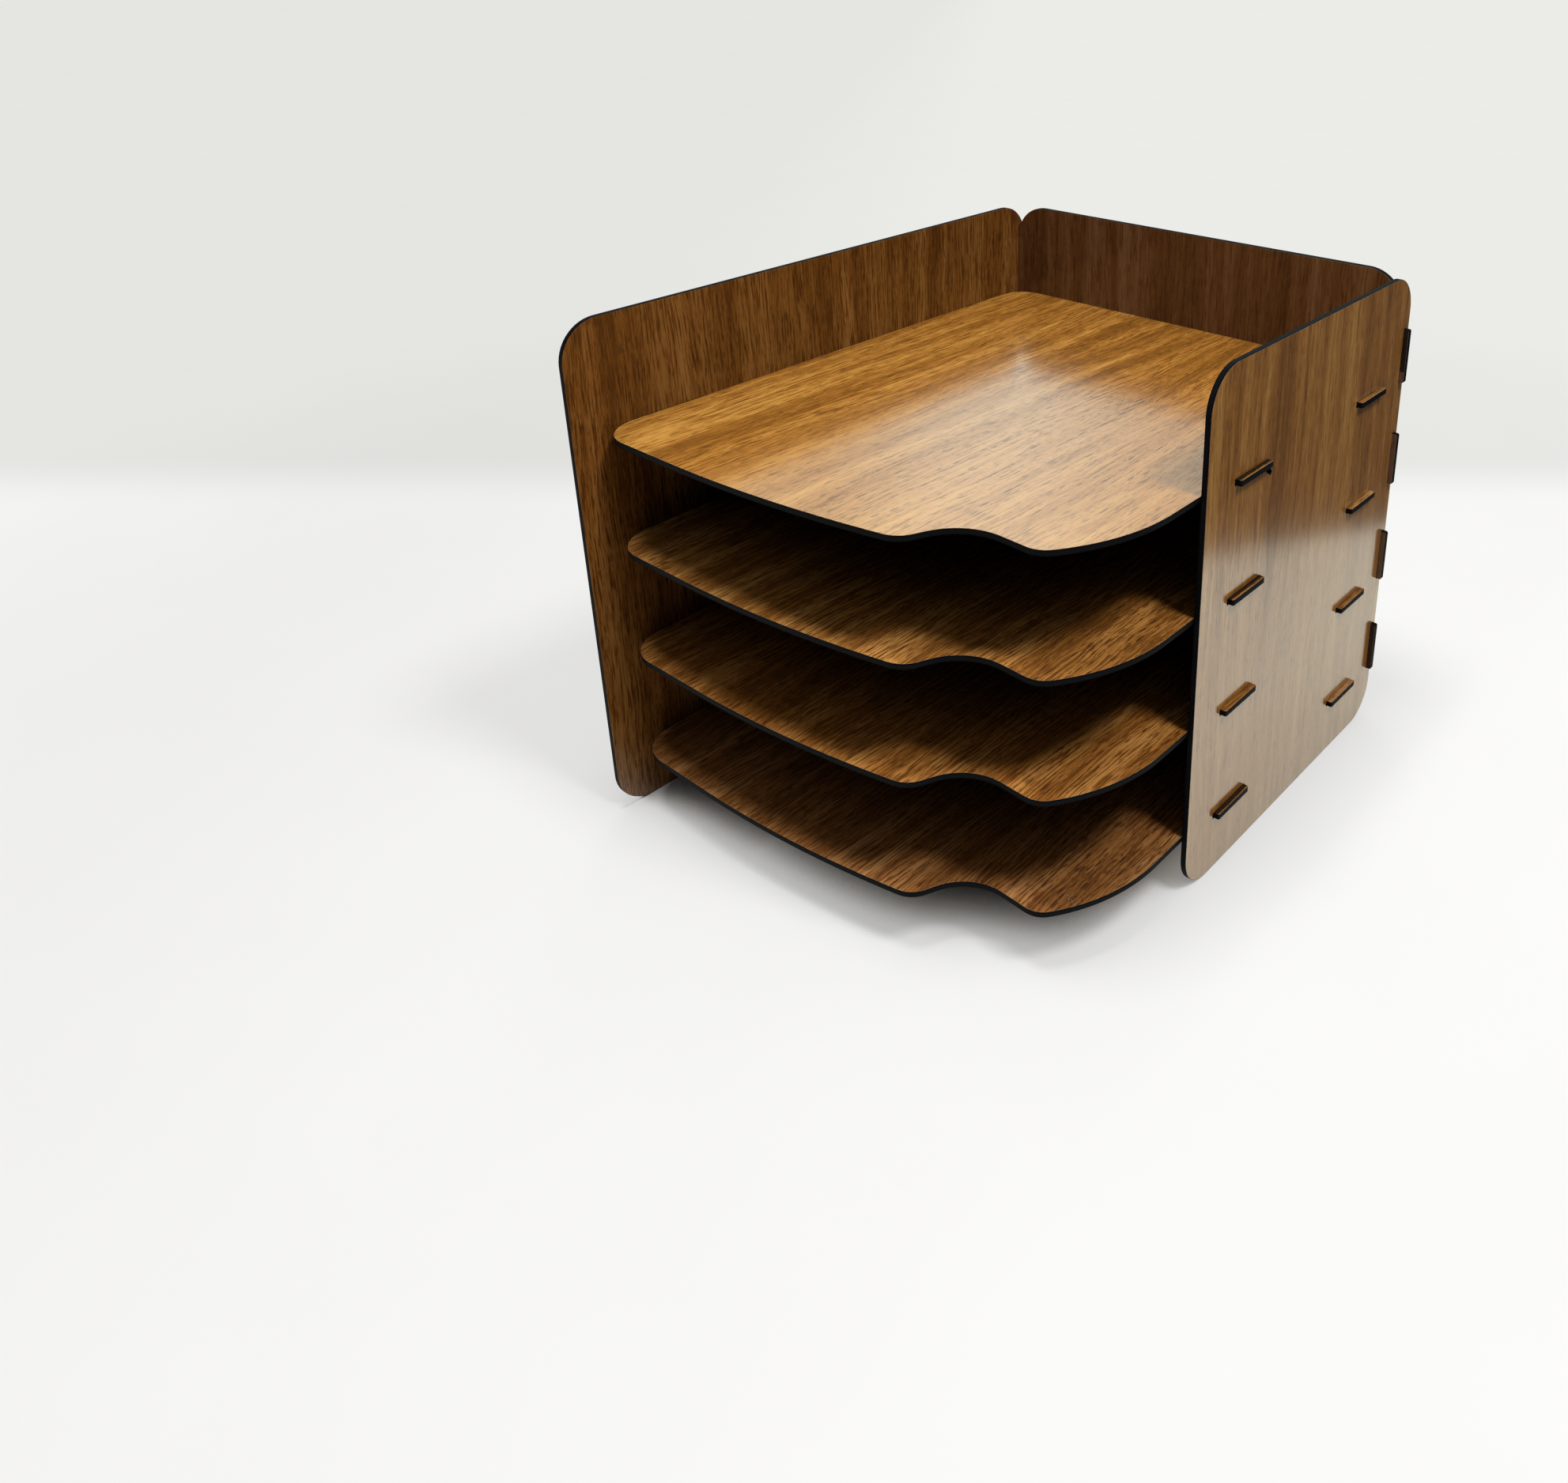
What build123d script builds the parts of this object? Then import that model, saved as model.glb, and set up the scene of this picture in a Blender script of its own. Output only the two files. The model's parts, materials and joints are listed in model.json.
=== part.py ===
from build123d import *
import math
import os

# Letter tray stack: four fixed shelves held between a long left panel, a short right panel
# and a back panel. Every piece is cut from the same thin laminated board, and the stack is
# held together by tabs pushed through slots, with no glue and no fasteners.
# Axes: X across the stack, Y from front to back, Z up. The origin is on the floor, under
# the middle of the long side panel and midway between the two sides. Lengths are in mm.

# Board and fit
board = 2.8                  # thickness of the laminated board
slot_clearance = 0.1         # air between a tab and each wall of its slot

# Side and back panels
inner_width = 254.4          # between the inner faces of the side panels
panel_height = 262.5         # all three panels stand on the floor and end level
left_depth = 328.0           # long panel, front edge to rear edge
right_depth = 196.0          # short panel, its rear edge level with the long one's
panel_corner = 20.0          # radius of every panel corner
back_rim = 2.5               # side panel left standing behind the back panel

# Shelves
shelf_count = 4
lowest_shelf_top = 33.0      # height of the lowest shelf's upper face
shelf_pitch = 58.2           # from one upper face to the next
shelf_depth = 310.0          # back panel to the foremost line of the shelf
front_left_radius = 20.0
rear_radius = 16.0

# Front edge of a shelf: straight on the left, then a long sweep, a finger notch and a
# round shoulder that runs into the right side in front of the short panel
sweep_radius = 700.0
sweep_angle = 11.0           # how far the sweep turns back, in degrees
sweep_corner = 116.5         # left side to where the sweep's two tangents cross
notch_start = 71.5           # right side to the notch's near corner
notch_start_radius = 15.0
notch_depth = 40.3           # foremost line to the notch's floor
notch_flank_angle = 66.0     # slope of the notch's left flank, in degrees
notch_floor_radius = 26.0
notch_end = 22.2             # right side to the notch's far corner
notch_fall = 1.8             # the floor comes this far forward again at its far corner
notch_end_radius = 12.0
shoulder_angle = 53.0        # slope of the shoulder, in degrees
shoulder_radius = 88.0

# Tabs
shelf_tab_length = 28.0
back_tab_length = 29.0
tab_reach = 2.8              # how far a tab stands out of the panel it goes through
tab_tip_radius = 1.0
right_tab_setback = 24.0     # short panel's front edge to its front tabs
left_tab_setback = 46.0      # long panel's front edge to its front tabs
rear_tab_gap = 21.0          # rear shelf tabs to the back panel
back_tab_rise = 11.0         # middle of a back panel tab above its shelf's upper face

# Places that follow from the sizes above
inner_x = inner_width / 2
outer_x = inner_x + board
tab_tip_x = outer_x + tab_reach
rear_y = left_depth / 2
left_front_y = -left_depth / 2
right_front_y = rear_y - right_depth
back_face_y = rear_y - back_rim - board
shelf_front_y = back_face_y - shelf_depth
shelf_tops = [lowest_shelf_top + i * shelf_pitch for i in range(shelf_count)]


def rounded_face(corners):
    # A flat face whose outline runs through the corners, given in order as (u, v, radius).
    # Where two neighbouring arcs would meet on the side between them, both get shorter.
    count = len(corners)
    points = [Vector(u, v) for u, v, radius in corners]
    sides = [points[(i + 1) % count] - points[i] for i in range(count)]
    half_turns = [math.radians(sides[i - 1].get_angle(sides[i])) / 2 for i in range(count)]
    cuts = [corners[i][2] * math.tan(half_turns[i]) for i in range(count)]
    shares = [1.0] * count
    for i in range(count):
        after = (i + 1) % count
        used = cuts[i] + cuts[after]
        if used > sides[i].length:
            share = 0.99 * sides[i].length / used
            shares[i] = min(shares[i], share)
            shares[after] = min(shares[after], share)
    starts = []
    ends = []
    edges = []
    for i in range(count):
        cut = cuts[i] * shares[i]
        starts.append(points[i] - sides[i - 1].normalized() * cut)
        ends.append(points[i] + sides[i].normalized() * cut)
    for i in range(count):
        if cuts[i] > 0:
            radius = corners[i][2] * shares[i]
            inward = (starts[i] + ends[i]) / 2 - points[i]
            reach = radius / math.cos(half_turns[i]) - radius
            middle = points[i] + inward.normalized() * reach
            edges.append(ThreePointArc(starts[i], middle, ends[i]))
        edges.append(Line(ends[i], starts[(i + 1) % count]))
    return make_face(edges)


def tab_points(side_u, tip_u, middle_v, length):
    # A tab that stands out of a straight side, listed from its lower v to its higher v.
    low = middle_v - length / 2
    high = middle_v + length / 2
    return [(side_u, low, 0), (tip_u, low, tab_tip_radius),
            (tip_u, high, tab_tip_radius), (side_u, high, 0)]


def slot(middle, length_y, length_z):
    # A slot right through a side panel for one tab, with clearance all round.
    size_y = length_y + 2 * slot_clearance
    size_z = length_z + 2 * slot_clearance
    through = board + 2 * slot_clearance
    return Pos(*middle) * Box(through, size_y, size_z)


def side_panel(inner_face_x, front_y, front_tab_y):
    # An upright board in the YZ plane, with two slots for each shelf and one for the back
    # panel's tab above it. The sign of inner_face_x says which way its outer face looks.
    corners = [(front_y, 0, panel_corner), (rear_y, 0, panel_corner),
               (rear_y, panel_height, panel_corner), (front_y, panel_height, panel_corner)]
    outward = math.copysign(1, inner_face_x)
    plane = Plane(origin=(inner_face_x, 0, 0), x_dir=(0, 1, 0), z_dir=(1, 0, 0))
    panel = extrude(plane * rounded_face(corners), amount=board * outward)
    middle_x = inner_face_x + outward * board / 2
    for top in shelf_tops:
        shelf_middle = top - board / 2
        panel -= slot((middle_x, front_tab_y, shelf_middle), shelf_tab_length, board)
        panel -= slot((middle_x, rear_tab_y, shelf_middle), shelf_tab_length, board)
        back_middle = back_face_y + board / 2
        panel -= slot((middle_x, back_middle, top + back_tab_rise), board, back_tab_length)
    return panel


def back_panel():
    # An upright board in the XZ plane between the side panels, with a tab on each side
    # for every shelf.
    corners = [(-inner_x, 0, panel_corner), (inner_x, 0, panel_corner)]
    for top in shelf_tops:
        corners += tab_points(inner_x, tab_tip_x, top + back_tab_rise, back_tab_length)
    corners += [(inner_x, panel_height, panel_corner), (-inner_x, panel_height, panel_corner)]
    for top in reversed(shelf_tops):
        middle = top + back_tab_rise
        corners += reversed(tab_points(-inner_x, -tab_tip_x, middle, back_tab_length))
    plane = Plane(origin=(0, back_face_y, 0), x_dir=(1, 0, 0), z_dir=(0, -1, 0))
    return extrude(plane * rounded_face(corners), amount=-board)


def shelf(top):
    # A level board in the XY plane, with two tabs on each side.
    left_x = -inner_x
    right_x = inner_x
    sweep_x = left_x + sweep_corner
    near_x = right_x - notch_start
    near_y = shelf_front_y + (near_x - sweep_x) * math.tan(math.radians(sweep_angle))
    floor_y = shelf_front_y + notch_depth
    flank_x = near_x + (floor_y - near_y) / math.tan(math.radians(notch_flank_angle))
    far_x = right_x - notch_end
    far_y = floor_y - notch_fall
    shoulder_y = far_y + notch_end * math.tan(math.radians(shoulder_angle))
    corners = [
        (left_x, shelf_front_y, front_left_radius),
        (sweep_x, shelf_front_y, sweep_radius),
        (near_x, near_y, notch_start_radius),
        (flank_x, floor_y, notch_floor_radius),
        (far_x, far_y, notch_end_radius),
        (right_x, shoulder_y, shoulder_radius),
    ]
    corners += tab_points(right_x, tab_tip_x, right_tab_y, shelf_tab_length)
    corners += tab_points(right_x, tab_tip_x, rear_tab_y, shelf_tab_length)
    corners += [(right_x, back_face_y, rear_radius), (left_x, back_face_y, rear_radius)]
    corners += reversed(tab_points(left_x, -tab_tip_x, rear_tab_y, shelf_tab_length))
    corners += reversed(tab_points(left_x, -tab_tip_x, left_tab_y, shelf_tab_length))
    return Pos(0, 0, top - board) * extrude(rounded_face(corners), amount=board)


# Middles of the shelf tabs along Y
right_tab_y = right_front_y + right_tab_setback + shelf_tab_length / 2
left_tab_y = left_front_y + left_tab_setback + shelf_tab_length / 2
rear_tab_y = back_face_y - rear_tab_gap - shelf_tab_length / 2

pieces = {
    "left_side_panel": side_panel(-inner_x, left_front_y, left_tab_y),
    "right_side_panel": side_panel(inner_x, right_front_y, right_tab_y),
    "back_panel": back_panel(),
}
for number, top in enumerate(shelf_tops, start=1):
    pieces[f"shelf_{number}"] = shelf(top)

os.makedirs("parts", exist_ok=True)
for name, piece in pieces.items():
    export_step(piece, f"parts/{name}.step")
    print(f"{name}: {piece.volume:.1f} mm3, {len(piece.solids())} solid")
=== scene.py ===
import bpy
import json
import math
import numpy as np
from mathutils import Matrix, Vector
from mathutils.geometry import delaunay_2d_cdt

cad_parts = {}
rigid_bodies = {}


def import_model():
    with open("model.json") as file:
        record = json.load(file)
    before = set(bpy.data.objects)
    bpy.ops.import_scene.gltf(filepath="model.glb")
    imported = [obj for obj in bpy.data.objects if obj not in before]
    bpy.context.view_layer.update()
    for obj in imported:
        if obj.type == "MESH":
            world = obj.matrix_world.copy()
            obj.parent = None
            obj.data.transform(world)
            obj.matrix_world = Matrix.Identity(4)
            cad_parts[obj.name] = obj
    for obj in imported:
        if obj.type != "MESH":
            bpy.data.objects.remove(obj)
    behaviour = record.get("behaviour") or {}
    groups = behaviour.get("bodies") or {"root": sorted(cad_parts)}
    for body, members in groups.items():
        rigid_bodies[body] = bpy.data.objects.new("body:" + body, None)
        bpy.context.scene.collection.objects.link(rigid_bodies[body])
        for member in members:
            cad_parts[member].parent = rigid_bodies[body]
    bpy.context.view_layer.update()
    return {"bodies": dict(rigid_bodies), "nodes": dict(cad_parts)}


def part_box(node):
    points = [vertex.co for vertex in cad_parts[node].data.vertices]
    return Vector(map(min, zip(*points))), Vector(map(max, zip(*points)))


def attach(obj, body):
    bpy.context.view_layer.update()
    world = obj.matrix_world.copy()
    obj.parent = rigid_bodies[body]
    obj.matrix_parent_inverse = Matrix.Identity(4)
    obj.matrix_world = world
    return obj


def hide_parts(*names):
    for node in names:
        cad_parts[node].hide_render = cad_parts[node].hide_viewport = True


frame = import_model()
print("frame loaded:", len(frame["nodes"]), "boards")

# Letter tray stack: seven boards cut from one walnut laminate, held by tabs in slots.
# Outlines are worked out here in mm, and meshes are written in metres.
mmPerMetre = 1000

tray = {
    "panelCorner": 20.0,
    "shelfTab": 28.0,            # lengths of the tabs
    "backTab": 29.0,
    "tabTip": 1.0,               # radius of a tab's outer corners
    "rightTabSetback": 24.0,     # a side panel's front edge to its front tabs
    "leftTabSetback": 46.0,
    "rearTabGap": 21.0,          # rear shelf tabs to the back panel
    "backTabRise": 11.0,         # middle of a back tab above its shelf
    "slotGap": 0.1,              # air round a tab
    "slotRelief": 0.8,           # slots run on this far in front of a shelf tab
}

shelfFront = {                   # front edge of a shelf, seen from above
    "leftRadius": 20.0,
    "rearRadius": 16.0,
    "sweepRadius": 700.0, "sweepAngle": 11.0, "sweepCorner": 116.5,
    "notchStart": 71.5, "notchStartRadius": 15.0, "notchDepth": 40.3,
    "flankAngle": 66.0, "floorRadius": 26.0,
    "notchEnd": 22.2, "notchFall": 1.8, "notchEndRadius": 12.0,
    "shoulderAngle": 53.0, "shoulderRadius": 88.0,
}

outlineSteps = {                 # lengths in mm
    "arcStep": 2.5,              # longest step round an arc
    "fewest": 6,                 # steps in any arc
    "sharedSide": 0.99,          # share of a side that two shrunk arcs may take
    "cornerSide": 0.3,           # a sharp corner's extra points stand this far from it
    "weld": 1e-6,                # points nearer than this count as one
    "tiny": 1e-12,               # keeps a division from being one by nothing
}

cutEdge = {                      # how every board's edge is rounded and divided
    "bevel": 0.18,
    "faceRings": (0.9, 0.5),     # rings on a face, this far inside the edge
    "bevelMargin": 0.04,         # from the round to the face's last ring
    "roundMiddle": 0.29,         # middle of the round, as a share of the bevel
    "roundRim": 0.03,            # rim distance that the middle of the round is given
    "wallRing": 0.7,             # ring on the wall, this far from the face
}


def nodeBox(name):
    # lowest and highest corner of a CAD node, in mm
    low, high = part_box(name)
    return np.array(low) * mmPerMetre, np.array(high) * mmPerMetre


def roundedLoop(corners):
    # Closed loop through corners (u, v, radius). An arc starts radius * tan(half the turn)
    # before its corner; where two arcs would meet on a side, both shrink to share it.
    # A sharp corner gets a point on either side, so that the shading turns only there.
    table = np.array(corners, float)
    point, radius = table[:, :2], table[:, 2]
    ahead = np.roll(point, -1, 0) - point
    length = np.hypot(ahead[:, 0], ahead[:, 1])
    ahead /= length[:, None]
    behind = np.roll(ahead, 1, 0)
    turn = np.arctan2(behind[:, 0] * ahead[:, 1] - behind[:, 1] * ahead[:, 0],
                      (behind * ahead).sum(1))
    cut = radius * np.tan(np.abs(turn) / 2)
    used = cut + np.roll(cut, -1)
    shrunk = outlineSteps["sharedSide"] * length / np.maximum(used, outlineSteps["tiny"])
    share = np.where(used > length, shrunk, 1.0)
    share = np.minimum(share, np.roll(share, 1))
    gap = outlineSteps["cornerSide"]
    parts = []
    for p, r, a, b, t, c in zip(point, radius * share, ahead, behind, turn, cut * share):
        if c <= 0:
            parts.append(np.array([p - gap * b, p, p + gap * a]))
            continue
        start = p - b * c
        normal = np.array([-b[1], b[0]]) * np.sign(t)
        steps = max(outlineSteps["fewest"], math.ceil(abs(t) * r / outlineSteps["arcStep"]))
        swing = np.linspace(0, t, steps + 1)
        arm = -normal * r
        x = arm[0] * np.cos(swing) - arm[1] * np.sin(swing)
        y = arm[0] * np.sin(swing) + arm[1] * np.cos(swing)
        parts.append(start + normal * r + np.stack([x, y], 1))
    return np.concatenate(parts)


def inset(loop, distance):
    # Each point moves to the mitre of its two sides, distance inside the material,
    # which lies on the left of the loop.
    ahead = np.roll(loop, -1, 0) - loop
    ahead /= np.hypot(ahead[:, 0], ahead[:, 1])[:, None]
    left = np.stack([-ahead[:, 1], ahead[:, 0]], 1)
    before = np.roll(left, 1, 0)
    spread = 1 + (left * before).sum(1)
    return loop + (left + before) / spread[:, None] * distance


def fillTriangles(rings):
    # Triangles between an outline and its holes: a constrained Delaunay net over all their
    # points. A triangle stays where a line to the right from its middle crosses an odd
    # number of sides, and each one that stays is turned to run anticlockwise.
    flat = np.concatenate(rings)
    starts = np.cumsum([0] + [len(ring) for ring in rings])
    sides = np.concatenate([
        np.stack([start + np.arange(len(ring)), start + np.roll(np.arange(len(ring)), -1)], 1)
        for start, ring in zip(starts, rings)])
    net = delaunay_2d_cdt([Vector(p) for p in flat], sides.tolist(), [], 0, outlineSteps["weld"])
    assert len(net[0]) == len(flat), "two rings of a board cross"
    origin = np.array([ids[0] for ids in net[3]])
    fill = origin[np.array(net[2])]
    middle = flat[fill].mean(1)
    a, b = flat[sides[:, 0]], flat[sides[:, 1]]
    span = (a[None, :, 1] > middle[:, None, 1]) != (b[None, :, 1] > middle[:, None, 1])
    rise = b[:, 1] - a[:, 1]
    rise = np.where(np.abs(rise) < outlineSteps["tiny"], outlineSteps["tiny"], rise)
    meet = a[:, 0] + (middle[:, None, 1] - a[:, 1]) * (b[:, 0] - a[:, 0]) / rise
    inside = (span & (middle[:, None, 0] < meet)).sum(1) % 2 == 1
    fill = fill[inside]
    p, q, r = flat[fill[:, 0]], flat[fill[:, 1]], flat[fill[:, 2]]
    area = (q[:, 0] - p[:, 0]) * (r[:, 1] - p[:, 1]) - (q[:, 1] - p[:, 1]) * (r[:, 0] - p[:, 0])
    return np.where(area[:, None] > 0, fill, fill[:, ::-1])


def edgeProfile(thickness):
    # (distance inside the edge, height from the board's middle, rim distance) from the upper
    # face, over the round and down the wall, and the same mirrored to the lower face. The
    # rim distance is the distance from the edge on a face, and minus the depth on the wall.
    bevel, share = cutEdge["bevel"], cutEdge["roundMiddle"]
    half = thickness / 2
    nearRound = bevel + cutEdge["bevelMargin"]
    profile = [(distance, half, distance) for distance in (*cutEdge["faceRings"], nearRound)]
    profile += [(bevel * share, half - bevel * share, cutEdge["roundRim"]), (0, half - bevel, -bevel),
                (0, half - cutEdge["wallRing"], -cutEdge["wallRing"]), (0, 0, -half)]
    return profile + [(distance, -height, rim) for distance, height, rim in reversed(profile[:-1])]


def boardPiece(name, loops, thickness, place, node):
    # A board is its outline and slots carried along the edge profile: point k of ring d is
    # the loop's point k moved d inside it, at the profile's height. Neighbouring rings are
    # joined by quads, and both faces are filled inside their innermost ring.
    profile = edgeProfile(thickness)
    points, rims, faces, capStart = [], [], [], []
    total = 0
    for loop in loops:
        count = len(loop)
        for distance, height, rim in profile:
            ring = inset(loop, distance)
            points.append(np.column_stack([ring, np.full(count, height + thickness / 2)]))
            rims.append(np.full(count, rim))
        i = np.arange(count)
        j = (i + 1) % count
        for k in range(len(profile) - 1):
            a, b = total + k * count, total + (k + 1) * count
            faces.append(np.stack([a + i, b + i, b + j, a + j], 1))
        capStart.append(total)
        total += count * len(profile)
    fill = fillTriangles([inset(loop, profile[0][0]) for loop in loops])
    top = np.concatenate([start + np.arange(len(loop)) for start, loop in zip(capStart, loops)])
    bottom = np.concatenate([start + (len(profile) - 1) * len(loop) + np.arange(len(loop))
                             for start, loop in zip(capStart, loops)])
    local = np.concatenate(points)
    world = place(local[:, 0], local[:, 1], local[:, 2]) / mmPerMetre
    polygons = np.concatenate(faces).tolist() + top[fill].tolist() + bottom[fill[:, ::-1]].tolist()
    mesh = bpy.data.meshes.new(name)
    mesh.from_pydata(world.tolist(), [], polygons)
    rimData = mesh.attributes.new("rim", "FLOAT", "POINT")
    rimData.data.foreach_set("value", np.concatenate(rims).astype(np.float32))
    mesh.polygons.foreach_set("use_smooth", np.ones(len(mesh.polygons), bool))
    mesh.update()
    piece = bpy.data.objects.new(name, mesh)
    bpy.context.scene.collection.objects.link(piece)
    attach(piece, "root" if "root" in frame["bodies"] else list(frame["bodies"])[0])
    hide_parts(node)
    return piece


def tabCorners(side, tip, middle, length):
    low, high = middle - length / 2, middle + length / 2
    return [(side, low, 0), (tip, low, tray["tabTip"]), (tip, high, tray["tabTip"]), (side, high, 0)]


laserNick = {                    # short burnt cut that runs on out of a slot's rear lower corner
    "back": 4.0, "down": 6.0, "width": 1.9,
    "endSlant": 0.7, "mouth": 2.6,           # shares of the width
    "mouthRadius": 1.1, "endRadius": 0.2,
}


def slotLoop(low, high, nicked=False):
    # a slot's rectangle, run backwards so that the board is on its left
    (u0, v0), (u1, v1) = low, high
    corners = [(u0, v0, 0), (u0, v1, 0), (u1, v1, 0), (u1, v0, 0)]
    if nicked:
        n = laserNick
        width, endU, endV = n["width"], u1 + n["back"], v0 - n["down"]
        slant = width * n["endSlant"]
        corners[3:] = [(u1, v0 + width, n["mouthRadius"]), (endU, endV + slant, n["endRadius"]),
                       (endU - slant, endV, n["endRadius"]),
                       (u1 - n["mouth"] * width, v0, n["mouthRadius"])]
    return roundedLoop(corners)


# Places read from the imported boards
backLow, backHigh = nodeBox("back_panel")
leftLow, leftHigh = nodeBox("left_side_panel")
rightLow, rightHigh = nodeBox("right_side_panel")
shelfBoxes = [nodeBox(f"shelf_{n}") for n in range(1, 5)]
board = rightHigh[0] - rightLow[0]
innerX, outerX, tipX = rightLow[0], rightHigh[0], backHigh[0]
rearTabY = backLow[1] - tray["rearTabGap"] - tray["shelfTab"] / 2
rightTabY = rightLow[1] + tray["rightTabSetback"] + tray["shelfTab"] / 2
leftTabY = leftLow[1] + tray["leftTabSetback"] + tray["shelfTab"] / 2


def sidePanelLoops(low, high, frontTabY, nickedShelf=None):
    r = tray["panelCorner"]
    g = tray["slotGap"]
    loops = [roundedLoop([(low[1], low[2], r), (high[1], low[2], r),
                          (high[1], high[2], r), (low[1], high[2], r)])]
    for number, (shelfLow, shelfHigh) in enumerate(shelfBoxes, start=1):
        z0, z1 = shelfLow[2] - g, shelfHigh[2] + g
        for tabY in (frontTabY, rearTabY):
            y0 = tabY - tray["shelfTab"] / 2 - g - tray["slotRelief"]
            y1 = tabY + tray["shelfTab"] / 2 + g
            nicked = number == nickedShelf and tabY == frontTabY
            loops.append(slotLoop((y0, z0), (y1, z1), nicked))
        middle = shelfHigh[2] + tray["backTabRise"]
        reach = tray["backTab"] / 2 + g
        loops.append(slotLoop((backLow[1] - g, middle - reach), (backHigh[1] + g, middle + reach)))
    return loops


def shelfLoop():
    # all four shelves share this outline
    f = shelfFront
    left, right = -innerX, innerX
    frontY, backY = shelfBoxes[0][0][1], backLow[1]
    sweepX = left + f["sweepCorner"]
    nearX = right - f["notchStart"]
    nearY = frontY + (nearX - sweepX) * math.tan(math.radians(f["sweepAngle"]))
    floorY = frontY + f["notchDepth"]
    flankX = nearX + (floorY - nearY) / math.tan(math.radians(f["flankAngle"]))
    farY = floorY - f["notchFall"]
    shoulderY = farY + f["notchEnd"] * math.tan(math.radians(f["shoulderAngle"]))
    corners = [(left, frontY, f["leftRadius"]), (sweepX, frontY, f["sweepRadius"]),
               (nearX, nearY, f["notchStartRadius"]), (flankX, floorY, f["floorRadius"]),
               (right - f["notchEnd"], farY, f["notchEndRadius"]),
               (right, shoulderY, f["shoulderRadius"])]
    corners += tabCorners(right, tipX, rightTabY, tray["shelfTab"])
    corners += tabCorners(right, tipX, rearTabY, tray["shelfTab"])
    corners += [(right, backY, f["rearRadius"]), (left, backY, f["rearRadius"])]
    corners += tabCorners(left, -tipX, rearTabY, tray["shelfTab"])[::-1]
    corners += tabCorners(left, -tipX, leftTabY, tray["shelfTab"])[::-1]
    return roundedLoop(corners)


def backPanelLoop():
    r = tray["panelCorner"]
    heights = [high[2] + tray["backTabRise"] for low, high in shelfBoxes]
    corners = [(-innerX, backLow[2], r), (innerX, backLow[2], r)]
    for z in heights:
        corners += tabCorners(innerX, tipX, z, tray["backTab"])
    corners += [(innerX, backHigh[2], r), (-innerX, backHigh[2], r)]
    for z in reversed(heights):
        corners += tabCorners(-innerX, -tipX, z, tray["backTab"])[::-1]
    return roundedLoop(corners)


# Shader node helpers

black = (0, 0, 0, 1)


def opaque(color):
    return (*color, 1)


def newGroup(name, inputs, outputs):
    # a node group with named sockets; an input's first value also tells its kind
    group = bpy.data.node_groups.new(name, "ShaderNodeTree")
    kinds = {1: "NodeSocketFloat", 3: "NodeSocketVector", 4: "NodeSocketColor"}
    for label, value in inputs.items():
        made = group.interface.new_socket(name=label, in_out="INPUT", socket_type=kinds[np.size(value)])
        made.default_value = value
    for label, kind in outputs.items():
        group.interface.new_socket(name=label, in_out="OUTPUT", socket_type="NodeSocket" + kind)
    return group


class Wires:
    # short calls for adding nodes to one tree and joining them
    def __init__(self, tree):
        self.tree = tree

    def put(self, target, value):
        if isinstance(value, bpy.types.NodeSocket):
            self.tree.links.new(value, target)
        else:
            target.default_value = value

    def fill(self, sockets, values):
        for key, value in values.items():
            self.put(sockets[key], value)

    def node(self, kind, inputs=None, **settings):
        made = self.tree.nodes.new(kind)
        for key, value in settings.items():
            setattr(made, key, value)
        self.fill(made.inputs, inputs or {})
        return made

    def group(self, nodeTree, values):
        return self.node("ShaderNodeGroup", values, node_tree=nodeTree).outputs

    def math(self, operation, a, b=0.0, clamp=False):
        made = self.node("ShaderNodeMath", {0: a, 1: b}, operation=operation, use_clamp=clamp)
        return made.outputs[0]

    def add(self, a, b):
        return self.math("ADD", a, b)

    def less(self, a, b):
        return self.math("SUBTRACT", a, b)

    def times(self, a, b):
        return self.math("MULTIPLY", a, b)

    def centred(self, value, amount):
        # a noise value about 0 in place of 0.5, times the amount
        return self.times(self.less(value, 0.5), amount)

    def ramp(self, value, low, high, toLow=0.0, toHigh=1.0, smooth=True):
        made = self.node("ShaderNodeMapRange", {0: value, 1: low, 2: high, 3: toLow, 4: toHigh},
                         interpolation_type="SMOOTHSTEP" if smooth else "LINEAR")
        return made.outputs[0]

    def mix(self, factor, a, b, blend="MIX"):
        made = self.node("ShaderNodeMix", data_type="RGBA", blend_type=blend)
        self.fill(made.inputs, {0: factor, 6: a, 7: b})
        return made.outputs[2]

    def blend(self, factor, a, b):
        return self.node("ShaderNodeMix", {0: factor, 2: a, 3: b}, data_type="FLOAT").outputs[0]

    def flatVector(self, x, y, stretchX, stretchY, shift):
        # (x / stretchX + shift, y / stretchY) for a pattern of that size in mm
        u = self.add(self.math("DIVIDE", x, stretchX), shift)
        made = self.node("ShaderNodeCombineXYZ", {0: u, 1: self.math("DIVIDE", y, stretchY)})
        return made.outputs[0]

    def flatNoise(self, vector, detail, roughness):
        values = {"Vector": vector, "Scale": 1.0, "Detail": detail, "Roughness": roughness}
        return self.node("ShaderNodeTexNoise", values, noise_dimensions="2D").outputs[0]

    def solidNoise(self, vector, values):
        return self.node("ShaderNodeTexNoise", {"Vector": vector, **values}).outputs[0]

    def axes(self, vector):
        return self.node("ShaderNodeSeparateXYZ", {0: vector}).outputs

    def levelDistance(self, xyz, x, y):
        # how far a point lies along the level direction (x, y)
        return self.add(self.times(xyz[0], x), self.times(xyz[1], y))


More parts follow.
